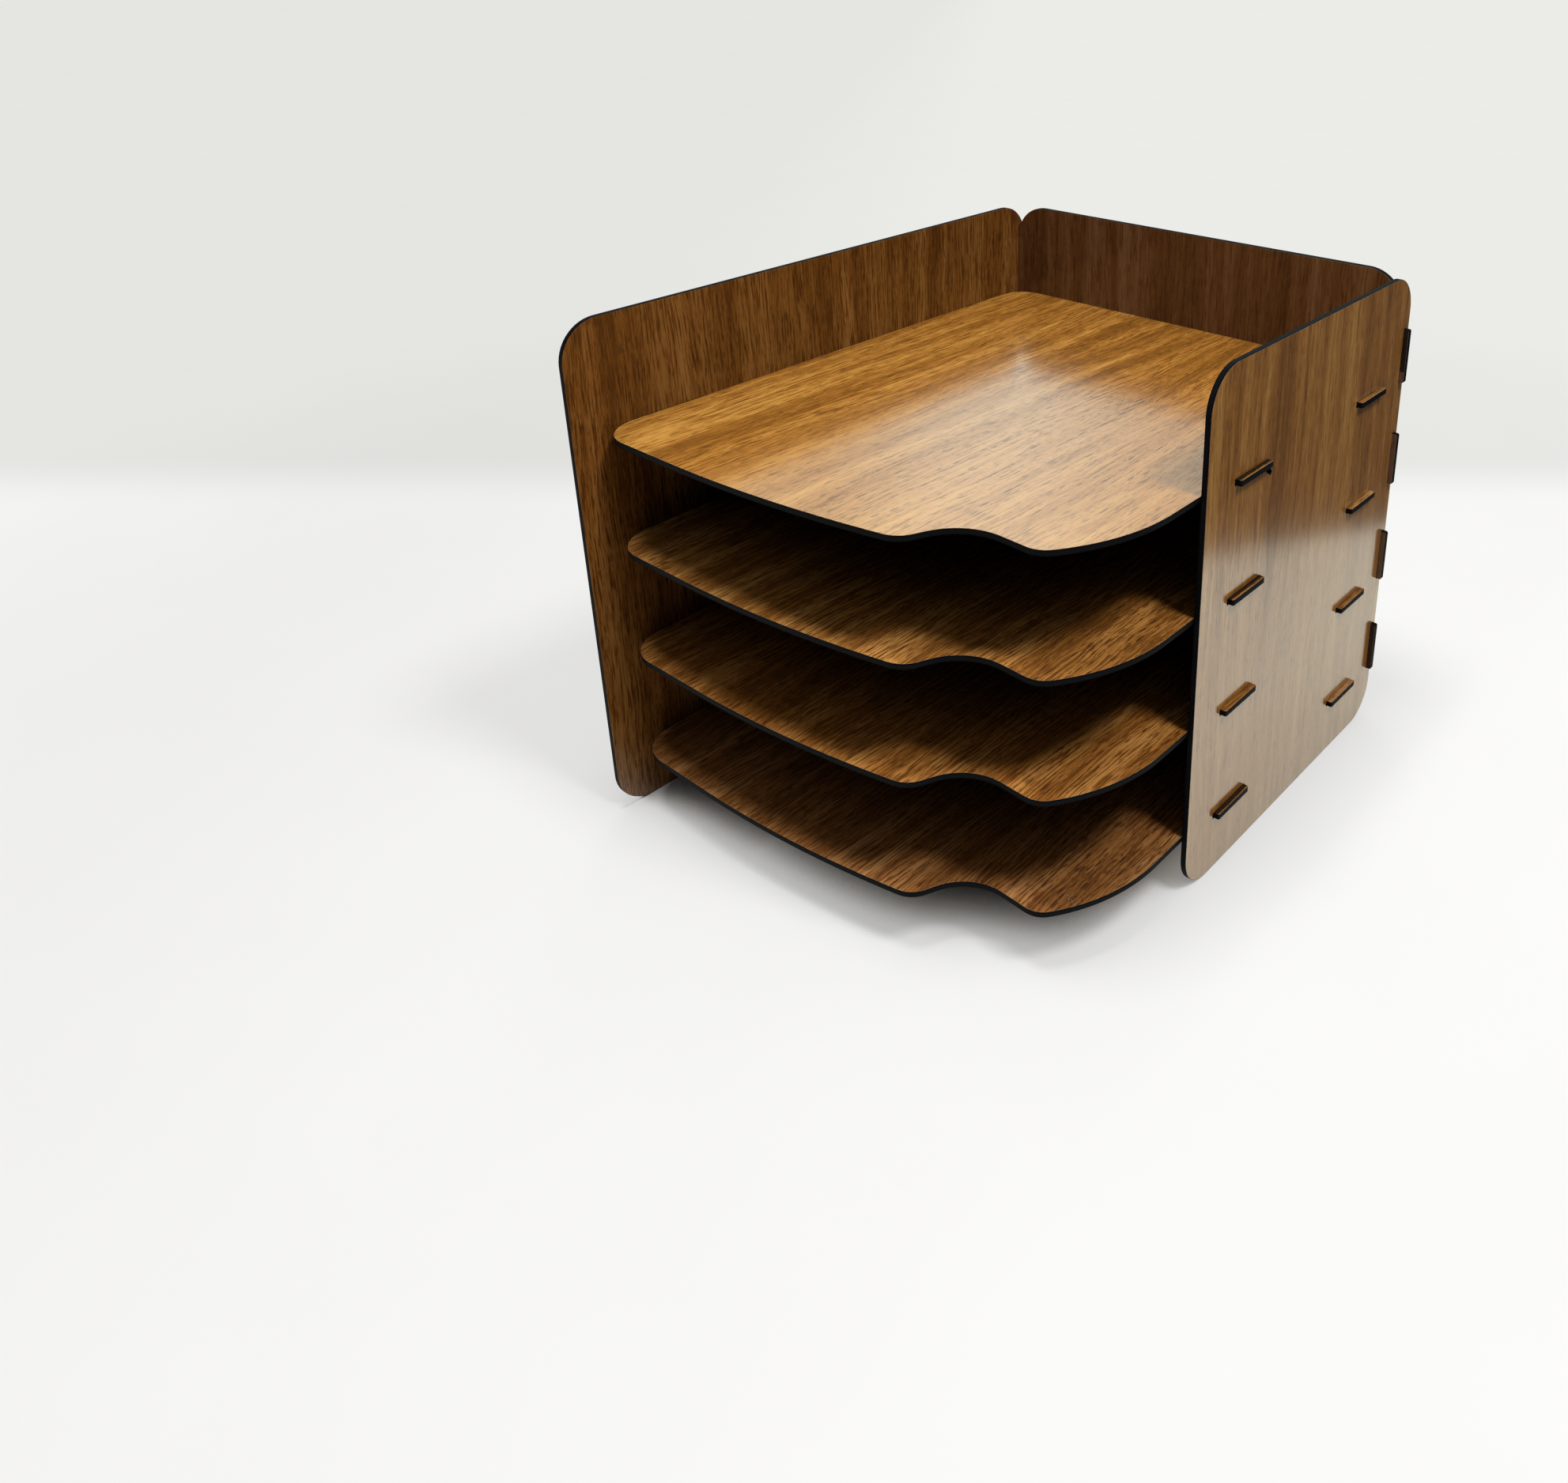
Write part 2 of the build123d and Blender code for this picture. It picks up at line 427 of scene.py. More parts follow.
# Noises that make the walnut: mm across the grain, mm along it, shift, detail, roughness
figure = {
    "wander": (60.0, 230.0, 0.0, 1.0, 0.5),      # moves every line sideways
    "wobble": (9.0, 34.0, 0.0, 1.0, 0.5),
    "streak": (3.2, 95.0, 0.0, 1.5, 0.5),
    "stroke": (1.15, 48.0, 2.9, 1.0, 0.5),       # long dark lines
    "dash": (1.1, 24.0, 5.1, 1.0, 0.5),          # short dark lines
    "fibre": (0.95, 24.0, 0.0, 1.5, 0.55),
    "mottle": (4.0, 11.0, 0.0, 1.5, 0.55),
    "grit": (0.55, 6.0, 0.0, 1.0, 0.5),
    "ringPatch": (52.0, 170.0, 7.3, 1.0, 0.5),   # where growth lines show
}

walnut = {
    "wander": 16.0, "wobble": 2.0,           # mm that the lines move sideways
    "bandLength": 380.0, "bandDetail": 1.0, "bandRoughness": 0.45,
    # how much each noise counts in the shade
    "band": 1.15, "streak": 0.5, "mottle": 0.35, "fibre": 1.05, "grit": 0.65,
    "strokeCut": (0.58, 0.74, 0.0, 0.22),    # noise from and to, and how far it darkens
    "dashCut": (0.5, 0.7, -0.05, 0.32),
    "fineTop": 0.06,                         # keeps the wood even between the dark lines
    "ringTurn": 1.7, "ringBend": 3.0, "ringEdge": (0.48, 0.62), "ringShade": 0.13,
    "coarsePores": {"across": 1.0, "along": 8.5, "size": 0.46, "shift": 3.1},
    "finePores": {"across": 0.6, "along": 4.2, "size": 0.40, "shift": 11.7},
    "smallestPore": 0.05, "poreEdge": (1.0, 0.6), "palestPore": 0.45, "finePoreDepth": 0.75,
    "poreCrowd": 0.42, "crowdInDark": 0.7, "crowdInRings": 0.3,
    "fibreHeight": 0.35,
}


def walnutGroup():
    # Printed walnut: x runs across the grain and y along it, in mm. Long bands, finer
    # streaks, fibres, patches of close growth lines, and two sizes of short dark pores.
    group = newGroup("walnutDecor", {
        "Vector": (0, 0, 0), "Seed": 0.0, "Band Width": 11.0, "Contrast": 1.0, "Tone": 0.5,
        "Painted Light Slope": 0.0, "Fibre Amount": 1.0, "Pore Amount": 0.6, "Growth Lines": 0.5,
        "Dark": (0.2, 0.08, 0.015, 1), "Middle": (0.4, 0.17, 0.03, 1), "Light": (0.6, 0.3, 0.07, 1),
        "Pore Color": (0.06, 0.025, 0.008, 1),
    }, {"Color": "Color", "Shade": "Float", "Pores": "Float", "Height": "Float"})
    w = Wires(group)
    source = w.node("NodeGroupInput").outputs
    across, along = w.axes(source["Vector"])[:2]
    seed = source["Seed"]

    def layer(name, x):
        sizeAcross, sizeAlong, shift, detail, roughness = figure[name]
        start = w.add(seed, shift) if shift else seed
        return w.flatNoise(w.flatVector(x, along, sizeAcross, sizeAlong, start), detail, roughness)

    drift = w.add(w.centred(layer("wander", across), walnut["wander"]),
                  w.centred(layer("wobble", across), walnut["wobble"]))
    line = w.add(across, drift)
    band = w.flatNoise(w.flatVector(line, along, source["Band Width"], walnut["bandLength"], seed),
                       walnut["bandDetail"], walnut["bandRoughness"])
    streak, fibre = layer("streak", line), layer("fibre", line)
    bent = w.add(line, w.times(streak, walnut["ringBend"]))
    rings = w.math("SINE", w.times(bent, walnut["ringTurn"]))
    ringPatch = w.ramp(layer("ringPatch", across), *walnut["ringEdge"])
    ringShade = w.times(w.times(rings, ringPatch), source["Growth Lines"])

    spread = w.add(w.centred(band, walnut["band"]), w.centred(streak, walnut["streak"]))
    spread = w.add(spread, w.centred(layer("mottle", across), walnut["mottle"]))
    fine = w.add(w.centred(fibre, walnut["fibre"]), w.centred(layer("grit", line), walnut["grit"]))
    fine = w.less(fine, w.ramp(layer("stroke", line), *walnut["strokeCut"]))
    fine = w.less(fine, w.ramp(layer("dash", line), *walnut["dashCut"]))
    fine = w.math("MINIMUM", fine, walnut["fineTop"])
    spread = w.add(spread, w.times(fine, source["Fibre Amount"]))
    spread = w.less(spread, w.times(ringShade, walnut["ringShade"]))
    # this slope along the grain is painted light: it makes a board lighter towards one end
    tone = w.add(source["Tone"], w.times(along, source["Painted Light Slope"]))
    shade = w.math("ADD", tone, w.times(spread, source["Contrast"]), clamp=True)
    toMiddle = w.ramp(shade, 0.0, 0.5, smooth=False)
    toLight = w.ramp(shade, 0.5, 1.0, smooth=False)
    color = w.mix(toLight, w.mix(toMiddle, source["Dark"], source["Middle"]), source["Light"])

    def poreLayer(pore):
        # one cell holds one pore; cells are picked by chance, more of them in dark wood
        place = w.flatVector(line, along, pore["across"], pore["along"], w.add(seed, pore["shift"]))
        cell = w.node("ShaderNodeTexVoronoi", {"Vector": place, "Scale": 1.0, "Randomness": 1.0},
                      voronoi_dimensions="2D").outputs
        chance = w.node("ShaderNodeSeparateColor", {0: cell["Color"]}).outputs
        reach = w.add(w.times(chance[1], pore["size"]), walnut["smallestPore"])
        mark = w.ramp(w.math("DIVIDE", cell["Distance"], reach), *walnut["poreEdge"])
        crowd = w.less(walnut["poreCrowd"], w.centred(shade, walnut["crowdInDark"]))
        crowd = w.add(crowd, w.times(ringShade, walnut["crowdInRings"]))
        chosen = w.math("LESS_THAN", chance[0], crowd)
        depth = w.ramp(chance[2], 0.0, 1.0, walnut["palestPore"], 1.0, smooth=False)
        return w.times(w.times(mark, chosen), depth)

    finePores = w.times(poreLayer(walnut["finePores"]), walnut["finePoreDepth"])
    pores = w.math("MAXIMUM", poreLayer(walnut["coarsePores"]), finePores)
    pores = w.times(pores, source["Pore Amount"])
    w.fill(w.node("NodeGroupOutput").inputs, {
        "Color": w.mix(pores, color, source["Pore Color"]), "Shade": shade, "Pores": pores,
        "Height": w.less(w.times(fibre, walnut["fibreHeight"]), pores)})
    return group


burntEdge = {                    # rim distances in mm, from the edge inwards or down the wall
    "burnt": (0.13, 0.02),
    # the wall's paler bluish middle is partly a painted sheen
    "coreAndSheen": (-0.25, -0.8),       # where the wall turns paler
    "coreFlicker": (0.2, 0.75, 0.45, 1.0),
    # the pale line just inside the edge: partly the foil's cut edge, partly a painted highlight along
    # the edge
    "foilAndHighlightStart": (0.05, 0.15), "foilAndHighlightEnd": (0.40, 0.22),
    "unevenReach": (0.3, 0.7, 0.5, 1.4),
    "ragged": {"Scale": 0.8, "Detail": 3.0, "Roughness": 0.65},
    "pulses": {"Scale": 3.2, "Detail": 2.0, "Roughness": 0.6},
    "jitter": 0.5,
}


def edgeGroup():
    # From the rim distance: the burnt cut wall, its paler bluish middle, partly a painted sheen,
    # the thin pale line between wall and face, partly the foil's cut and partly a painted
    # highlight, and the soot beside the edge, which fades away over the face.
    group = newGroup("laserEdge", {
        "Vector": (0, 0, 0), "Rim": 1.0, "Soot Reach": 0.35, "Core And Sheen": (0.01, 0.0105, 0.0135, 1),
        "Char": (0.002, 0.002, 0.0025, 1),
    }, {"Color": "Color", "Burnt": "Float", "Foil And Highlight": "Float", "Soot": "Float", "Height": "Float",
        "Ragged": "Float"})
    w = Wires(group)
    source = w.node("NodeGroupInput").outputs
    rim = source["Rim"]
    ragged = w.solidNoise(source["Vector"], burntEdge["ragged"])
    pulses = w.solidNoise(source["Vector"], burntEdge["pulses"])
    burnt = w.ramp(rim, *burntEdge["burnt"])
    coreAndSheen = w.ramp(w.add(rim, w.centred(ragged, burntEdge["jitter"])), *burntEdge["coreAndSheen"])
    coreAndSheen = w.times(coreAndSheen, w.ramp(pulses, *burntEdge["coreFlicker"]))
    foilAndHighlight = w.times(w.ramp(rim, *burntEdge["foilAndHighlightStart"]), w.ramp(rim, *burntEdge["foilAndHighlightEnd"]))
    reach = w.times(source["Soot Reach"], w.ramp(ragged, *burntEdge["unevenReach"]))
    soot = w.math("SUBTRACT", 1.0, w.math("DIVIDE", rim, reach), clamp=True)
    w.fill(w.node("NodeGroupOutput").inputs, {
        "Color": w.mix(coreAndSheen, source["Char"], source["Core And Sheen"]), "Burnt": burnt, "Foil And Highlight": foilAndHighlight,
        "Soot": soot, "Height": w.times(pulses, burnt), "Ragged": ragged})
    return group


scuffLines = {
    "crest": (0.014, 0.002),     # a mark runs where the noise is this near its middle
    "broken": (0.48, 0.6),
    "lines": {"Scale": 0.34, "Detail": 2.0, "Roughness": 0.7, "Distortion": 1.6},
    "breaks": {"Scale": 0.9, "Detail": 1.0},
}


def scuffGroup():
    # a few fine pale marks inside a small round patch
    group = newGroup("scuffMarks", {
        "Vector": (0, 0, 0), "Centre": (0, 0, 0), "Size": 6.0, "Amount": 0.0,
    }, {"Mask": "Float"})
    w = Wires(group)
    source = w.node("NodeGroupInput").outputs
    away = w.node("ShaderNodeVectorMath", {0: source["Vector"], 1: source["Centre"]},
                  operation="DISTANCE").outputs["Value"]
    patch = w.ramp(away, source["Size"], 0.0)
    lines = w.solidNoise(source["Vector"], scuffLines["lines"])
    crest = w.ramp(w.math("ABSOLUTE", w.less(lines, 0.5)), *scuffLines["crest"])
    broken = w.ramp(w.solidNoise(source["Vector"], scuffLines["breaks"]), *scuffLines["broken"])
    mask = w.times(w.times(crest, broken), w.times(patch, source["Amount"]))
    w.fill(w.node("NodeGroupOutput").inputs, {"Mask": mask})
    return group


walnutDecor, laserEdge, scuffMarks = walnutGroup(), edgeGroup(), scuffGroup()
print("node groups built")

finish = {                       # shared by every board
    "dark": (0.25, 0.098, 0.014),
    "middle": (0.49, 0.208, 0.032),
    "light": (0.76, 0.40, 0.085),
    "pore": (0.085, 0.034, 0.009),
    "soot": (0.008, 0.007, 0.008),
    # the pale line along the edge, partly foil and partly a painted highlight
    "foilAndHighlightLine": (0.42, 0.33, 0.23),
    "scuff": (0.75, 0.66, 0.55),
    "thrownOn": 0.01,            # share of its colour in light that it throws on, for dark bays
    "roughness": 0.2,            # of the wood under the coat
    "poreRoughness": 0.25,       # added in the pores
    "burntRoughness": 0.62,
    "sootDull": 0.85,            # how matt soot is, where burnt wood is 1
    "innerIor": 1.5, "innerGloss": 0.05,
    "coatRoughness": 0.155,      # a look may give its own coat
    "coatIor": 2.2,
    "sleek": (0.77, 1.15),       # coat on the darkest and on the lightest wood
    "poreMatt": 0.2,
    "bump": 0.35, "bumpDistance": 0.00006, "edgeBump": 1.5,
    "tabSootJitter": 1.3, "softStart": 0.12, "softEnd": 0.15,      # mm, of the soot on tabs
}


def tabSmoke(w, axisOf, ragged, soot):
    # soot on right tabs, from this far inside the slot to a bare stretch at the tip, for one
    # stretch of the board's side
    start, end = outerX - soot["inside"], tipX - soot["bareTip"]
    softStart, softEnd = finish["softStart"], finish["softEnd"]
    low, high = soot["between"]
    outward = w.add(axisOf["x"], w.centred(ragged, finish["tabSootJitter"]))
    over = w.times(w.ramp(outward, start - softStart, start + softStart),
                   w.ramp(outward, end + softEnd, end - softEnd))
    side = axisOf[soot["along"]]
    inside = w.times(w.math("GREATER_THAN", side, low), w.math("LESS_THAN", side, high))
    return w.times(w.times(over, inside), soot["amount"])


def walnutMaterial(look):
    # look["grain"] names two axes, the one across the grain and the one along it
    material = bpy.data.materials.new("walnut_" + look["name"])
    material.use_nodes = True
    tree = material.node_tree
    tree.nodes.clear()
    w = Wires(tree)
    place = w.node("ShaderNodeTexCoord").outputs["Object"]
    inMm = w.node("ShaderNodeMapping", {"Vector": place, "Scale": (mmPerMetre,) * 3}).outputs[0]
    axisOf = dict(zip("xyz", w.axes(inMm)))
    across, along = (axisOf[axis] for axis in look["grain"])
    contrast = look["contrast"]
    tint = opaque(look["tint"])
    if "outer" in look:
        # the inner face keeps the look's darker tint, painted shade for the inside of the stack, and
        # the outer face gets its own tint and a quieter figure
        outer = look["outer"]
        beyond = w.times(w.less(axisOf[outer["axis"]], outer["start"]), outer["side"])
        outside = w.math("GREATER_THAN", beyond, 0.0)
        contrast = w.blend(outside, contrast, contrast * outer["share"])
        tint = w.mix(outside, tint, opaque(outer["tint"]))
    if "quietUnderGlare" in look:
        # a quieter figure where the glare falls, painted to stand in for the glare washing the figure
        # out: short of a place along the grain, and past one across it if given
        quietUnderGlare = look["quietUnderGlare"]
        patch = w.ramp(along, *quietUnderGlare["along"])
        if "across" in quietUnderGlare:
            patch = w.times(w.ramp(across, *quietUnderGlare["across"]), patch)
        contrast = w.blend(patch, contrast, contrast * quietUnderGlare["share"])
    wood = w.group(walnutDecor, {
        "Vector": w.node("ShaderNodeCombineXYZ", {0: across, 1: along}).outputs[0],
        "Seed": look["seed"], "Band Width": look["bandWidth"], "Contrast": contrast,
        "Tone": look["tone"], "Painted Light Slope": look.get("paintedLightSlope", 0.0), "Fibre Amount": look["fibres"],
        "Pore Amount": look["pores"], "Growth Lines": look["growthLines"],
        "Dark": opaque(finish["dark"]), "Middle": opaque(finish["middle"]),
        "Light": opaque(finish["light"]), "Pore Color": opaque(finish["pore"])})
    rim = w.node("ShaderNodeAttribute", attribute_name="rim").outputs["Fac"]
    edge = w.group(laserEdge, {"Vector": inMm, "Rim": rim, "Soot Reach": look["sootReach"]})
    color = w.mix(1.0, wood["Color"], tint, "MULTIPLY")
    for centre, size, amount in look.get("scuffs", []):
        scuff = w.group(scuffMarks, {"Vector": inMm, "Centre": centre, "Size": size, "Amount": amount})
        color = w.mix(scuff["Mask"], color, opaque(finish["scuff"]))
    smoke = edge["Soot"]
    for soot in look.get("tabSoot", []):
        smoke = w.math("MAXIMUM", smoke, tabSmoke(w, axisOf, edge["Ragged"], soot))
    # a pale line along the edge, partly the foil's cut and partly a painted highlight
    color = w.mix(w.times(edge["Foil And Highlight"], look["foilAndHighlight"]), color, opaque(finish["foilAndHighlightLine"]))
    color = w.mix(smoke, color, opaque(finish["soot"]))
    color = w.mix(edge["Burnt"], color, edge["Color"])
    passedOn = w.node("ShaderNodeLightPath").outputs["Is Diffuse Ray"]
    color = w.mix(w.times(passedOn, 1 - finish["thrownOn"]), color, black)
    dull = w.math("MAXIMUM", edge["Burnt"], w.times(smoke, finish["sootDull"]))
    roughness = w.add(finish["roughness"], w.times(wood["Pores"], finish["poreRoughness"]))
    roughness = w.blend(dull, roughness, finish["burntRoughness"])
    height = w.add(w.times(wood["Height"], w.less(1.0, dull)),
                   w.times(edge["Height"], finish["edgeBump"]))
    bump = w.node("ShaderNodeBump", {"Strength": finish["bump"], "Distance": finish["bumpDistance"],
                                     "Height": height})
    # the dark streaks and the pores mirror less than the wood between them
    sleek = w.less(w.ramp(wood["Shade"], 0.0, 1.0, *finish["sleek"], smooth=False),
                   w.times(wood["Pores"], finish["poreMatt"]))
    whole = w.math("SUBTRACT", 1.0, w.math("MAXIMUM", dull, passedOn), clamp=True)
    shader = w.node("ShaderNodeBsdfPrincipled", {
        "Base Color": color, "Roughness": roughness, "Normal": bump.outputs[0],
        "IOR": finish["innerIor"], "Specular IOR Level": finish["innerGloss"],
        "Coat Weight": w.math("MULTIPLY", sleek, whole, clamp=True),
        "Coat Roughness": look.get("coatRoughness", finish["coatRoughness"]),
        "Coat IOR": look.get("coatIor", finish["coatIor"])})
    w.node("ShaderNodeOutputMaterial", {"Surface": shader.outputs[0]})
    return material


# Each board: its own cut from the printed sheet, its outline and its place

leftPanel = {
    "name": "left_panel", "grain": "yz", "seed": 4.2, "bandWidth": 11.0,
    # the slope paints the panel lighter towards the bottom, painted light
    # the tint darkens the inner face as painted shade; the outer face has its own tint
    "tint": (0.61, 0.5, 0.56), "contrast": 1.0, "tone": 0.75, "paintedLightSlope": -0.001,
    "outer": {"tint": (0.92, 0.84, 0.72), "share": 0.6,
              "axis": "x", "start": (leftLow[0] + leftHigh[0]) / 2, "side": -1.0},
    "fibres": 1.6, "pores": 0.75, "growthLines": 0.5, "sootReach": 0.15, "foilAndHighlight": 0.1, "coatIor": 1.5,
}

left = boardPiece("leftSidePanel", sidePanelLoops(leftLow, leftHigh, leftTabY), board,
                  lambda u, v, h: np.stack([leftLow[0] + h, u, v], 1), "left_side_panel")
left.data.materials.append(walnutMaterial(leftPanel))

rightPanel = {
    "name": "right_panel", "grain": "yz", "seed": 17.6, "bandWidth": 10.0,
    "tint": (0.94, 0.9, 0.98), "contrast": 1.0, "tone": 0.5,
    # the figure is quieter low down, where the mirrored floor lies on the panel: painted in place of
    # the reflection washing it out
    "quietUnderGlare": {"along": (160, 115), "share": 0.45},
    "fibres": 0.7, "pores": 0.5, "growthLines": 0.4, "sootReach": 0.4, "foilAndHighlight": 0.8,
    "nickedShelf": 4,            # the front slot of this shelf has the laser's nick
}

rightLoops = sidePanelLoops(rightLow, rightHigh, rightTabY, rightPanel["nickedShelf"])
right = boardPiece("rightSidePanel", rightLoops, board,
                   lambda u, v, h: np.stack([rightLow[0] + h, u, v], 1), "right_side_panel")
right.data.materials.append(walnutMaterial(rightPanel))

backPanel = {
    "name": "back_panel", "grain": "xz", "seed": 31.9, "bandWidth": 10.0,
    # the tint darkens the inner face as painted shade; the outer face has its own tint
    "tint": (0.53, 0.45, 0.88), "contrast": 1.0, "tone": 0.5,
    "outer": {"tint": (0.9, 0.84, 0.8), "share": 0.9,
              "axis": "y", "start": (backLow[1] + backHigh[1]) / 2, "side": 1.0},
    "fibres": 0.8, "pores": 0.5, "growthLines": 0.3, "sootReach": 0.4, "foilAndHighlight": 0.35, "coatIor": 1.5,
    "tabSoot": [{"along": "z", "between": (210, 250), "inside": 0.0, "bareTip": 0.3, "amount": 0.9},
                {"along": "z", "between": (20, 70), "inside": 0.0, "bareTip": 0.3, "amount": 0.8}],
}

back = boardPiece("backPanel", [backPanelLoop()], board,
                  lambda u, v, h: np.stack([u, backHigh[1] - h, v], 1), "back_panel")
back.data.materials.append(walnutMaterial(backPanel))


def frontTabSoot(bareTip, margin=4.0):
    # soot along the whole of a shelf's front right tab, and a little past its ends
    reach = tray["shelfTab"] / 2 + margin
    between = (rightTabY - reach, rightTabY + reach)
    return [{"along": "y", "between": between, "inside": 0.3, "bareTip": bareTip, "amount": 0.95}]


anyShelf = {                     # what a shelf has unless its own look says otherwise
    "grain": "xy", "bandWidth": 12.0, "contrast": 1.0, "tone": 0.53,
    "pores": 1.0, "growthLines": 0.5, "sootReach": 0.35, "foilAndHighlight": 0.6,
}

shelfLooks = [
    {"name": "shelf_1", "seed": 51.3, "tint": (0.9, 0.85, 1.5), "fibres": 2.1,
     "tabSoot": frontTabSoot(0.85),
     "scuffs": [((88, -108, 33), 5.0, 1.0), ((112, -95, 33), 6.0, 1.0)]},      # middle, size, amount
    {"name": "shelf_2", "seed": 64.8, "tint": (1.07, 0.96, 1.2), "fibres": 2.2},
    {"name": "shelf_3", "seed": 83.1, "tint": (1.2, 1.14, 1.5), "fibres": 2.3,
     "tabSoot": frontTabSoot(1.25)},
    {"name": "shelf_4", "seed": 97.4, "tint": (1.06, 1.03, 1.06), "fibres": 1.3,
     # the slope paints the shelf lighter towards the front, painted light that falls off towards the
     # back
     "bandWidth": 13.0, "contrast": 1.1, "tone": 0.515, "paintedLightSlope": -0.0009,
     # the figure is quieter at the front right, where the glare lies: painted in place of the glare
     # washing it out
     "quietUnderGlare": {"across": (-75, -20), "along": (75, 15), "share": 0.42},
     "pores": 0.75, "growthLines": 0.8, "foilAndHighlight": 0.7, "coatRoughness": 0.175,
     "tabSoot": frontTabSoot(1.0)},
]

for number, look in enumerate(shelfLooks, start=1):
    lift = shelfBoxes[number - 1][0][2]
    shelf = boardPiece(f"shelf{number}", [shelfLoop()], board,
                       lambda u, v, h, lift=lift: np.stack([u, v, lift + h], 1), f"shelf_{number}")
    shelf.data.materials.append(walnutMaterial({**anyShelf, **look}))
print("boards built")

# Studio: a pale floor and room, two soft lamps and a weak one behind

cameraPlace = {
    "at": (0.369819, -0.446531, 0.434429), "azimuth": 39.261, "elevation": 20.811, "roll": 0.033,
    "focalPixels": 1597.97, "centre": (1291.81, 495.52), "image": (1983, 1876),
    "film": 36.0, "clip": (0.02, 100.0),
}


def makeCamera(c):
    # centre is the pixel that the lens axis meets, and focalPixels the focal length in pixels
    data = bpy.data.cameras.new("camera")
    camera = bpy.data.objects.new("camera", data)
    bpy.context.scene.collection.objects.link(camera)
    width, height = c["image"]
    data.sensor_width = c["film"]
    data.lens = c["focalPixels"] / width * c["film"]
    data.shift_x = (width / 2 - c["centre"][0]) / width
    data.shift_y = (c["centre"][1] - height / 2) / width
    data.clip_start, data.clip_end = c["clip"]
    az, el = math.radians(c["azimuth"]), math.radians(c["elevation"])
    back = Vector((math.sin(az) * math.cos(el), -math.cos(az) * math.cos(el), math.sin(el)))
    side = Vector((math.cos(az), math.sin(az), 0))
    turned = Matrix.Rotation(math.radians(c["roll"]), 3, back)
    side, up = turned @ side, turned @ back.cross(side)
    camera.matrix_world = Matrix.Translation(c["at"]) @ Matrix((side, up, back)).transposed().to_4x4()
    bpy.context.scene.camera = camera


lamps = {
    "rightLamp": {"towards": (0.5, 0.0, 0.86), "share": 0.41, "size": 0.42, "distance": 1.8},
    "topLamp": {"towards": (-0.03, -0.15, 1.0), "share": 0.43, "size": 0.48, "distance": 1.8},
    "rearLamp": {"towards": (-0.62, 0.68, 0.38), "share": 0.04, "size": 0.8, "distance": 1.8},
}
lampAim = (0, 0, 0.13)           # middle of the stack


def makeLamp(name, lamp):
    # power that lights a level white surface in the middle of the stack to this share of white
    towards = Vector(lamp["towards"]).normalized()
    data = bpy.data.lights.new(name, "AREA")
    data.shape = "DISK"
    data.size = lamp["size"]
    data.energy = lamp["share"] / towards.z * math.pi ** 2 * lamp["distance"] ** 2
    item = bpy.data.objects.new(name, data)
    bpy.context.scene.collection.objects.link(item)
    item.location = Vector(lampAim) + towards * lamp["distance"]
    item.rotation_mode = "QUATERNION"
    item.rotation_quaternion = (-towards).to_track_quat("-Z", "Y")
    item.visible_glossy = False     # else a lamp burns out where a shelf mirrors it


def mirrorRay(w, path):
    # 1 for a ray that a gloss sends out straight from what the camera sees
    first = w.math("SUBTRACT", 1.0, path["Diffuse Depth"], clamp=True)
    return w.times(path["Is Glossy Ray"], first)


darkSide = (0.06, 0.055, 0.05)   # the room in front and on the right, as the gloss mirrors it

floorLook = {                    # distances in metres
    "size": 30.0,
    "near": (0.975, 0.971, 0.96), "far": (0.835, 0.84, 0.81),
    "farLine": (0.94, 0.05),     # from under the camera to the darker far part, and its softness
    "leftDim": (-0.55, 0.0), "leftShare": 0.94,    # full at the middle, this share of it at the left
    "speckle": {"Scale": 9.0, "Detail": 3.0},
    "speckleRamp": (0.35, 0.65, 0.0, 0.02), "speckleGrey": (0.6, 0.6, 0.6),
    "mirrored": (1.1, 1.12, 0.97),
    "darkLine": (0.393, 0.008),  # from the origin to the dark ground at the right, and its softness
    "darkHeading": (0.852, 0.523),
    "bounce": 0.48,              # how light the floor is for light that it throws on
    "darkBounce": 0.4,           # the dark ground's share of that
    "glow": (0.3, 1.0, 0.5, 1.0),            # share of glow by distance: all of it far away
    "rightGlow": (0.12, 0.2, 0.0, 0.85),     # and at least this much beside the right panel
    "contactReach": 0.08, "contactSamples": 24,
    "contactDepth": (0.10, 0.14, 0.14, 0.03),      # dims by the stack, hardly on the lamps' side
    "underBoard": (0.21, 0.45),  # open share of the sky where the floor is darkest and where full
    "underLight": (0.09, 0.125, 0.0, 0.6),   # how light the darkest floor is, from left to right
    "shadeTint": (1.0, 0.9, 0.78),
}


def floorColors(w, place, xyz, s):
    # what the camera sees, what a gloss mirrors, and what lights other things
    az = math.radians(cameraPlace["azimuth"])
    forward, rightwards = (-math.sin(az), math.cos(az)), (math.cos(az), math.sin(az))
    away, soft = s["farLine"]
    start = cameraPlace["at"][0] * forward[0] + cameraPlace["at"][1] * forward[1] + away
    far = w.ramp(w.levelDistance(xyz, *forward), start - soft, start + soft)
    dim = w.ramp(w.levelDistance(xyz, *rightwards), *s["leftDim"], 1 - s["leftShare"], 0.0)
    speckle = w.ramp(w.solidNoise(place, s["speckle"]), *s["speckleRamp"])
    shown = w.mix(far, opaque(s["near"]), opaque(s["far"]))
    shown = w.mix(dim, shown, black)
    shown = w.mix(speckle, shown, opaque(s["speckleGrey"]))
    line, soft = s["darkLine"]
    dark = w.ramp(w.levelDistance(xyz, *s["darkHeading"]), line - soft, line + soft)
    mirrored = w.mix(dark, opaque(s["mirrored"]), opaque(darkSide))
    bounced = w.mix(dark, opaque([s["bounce"]] * 3), opaque([s["bounce"] * s["darkBounce"]] * 3))
    return shown, mirrored, bounced


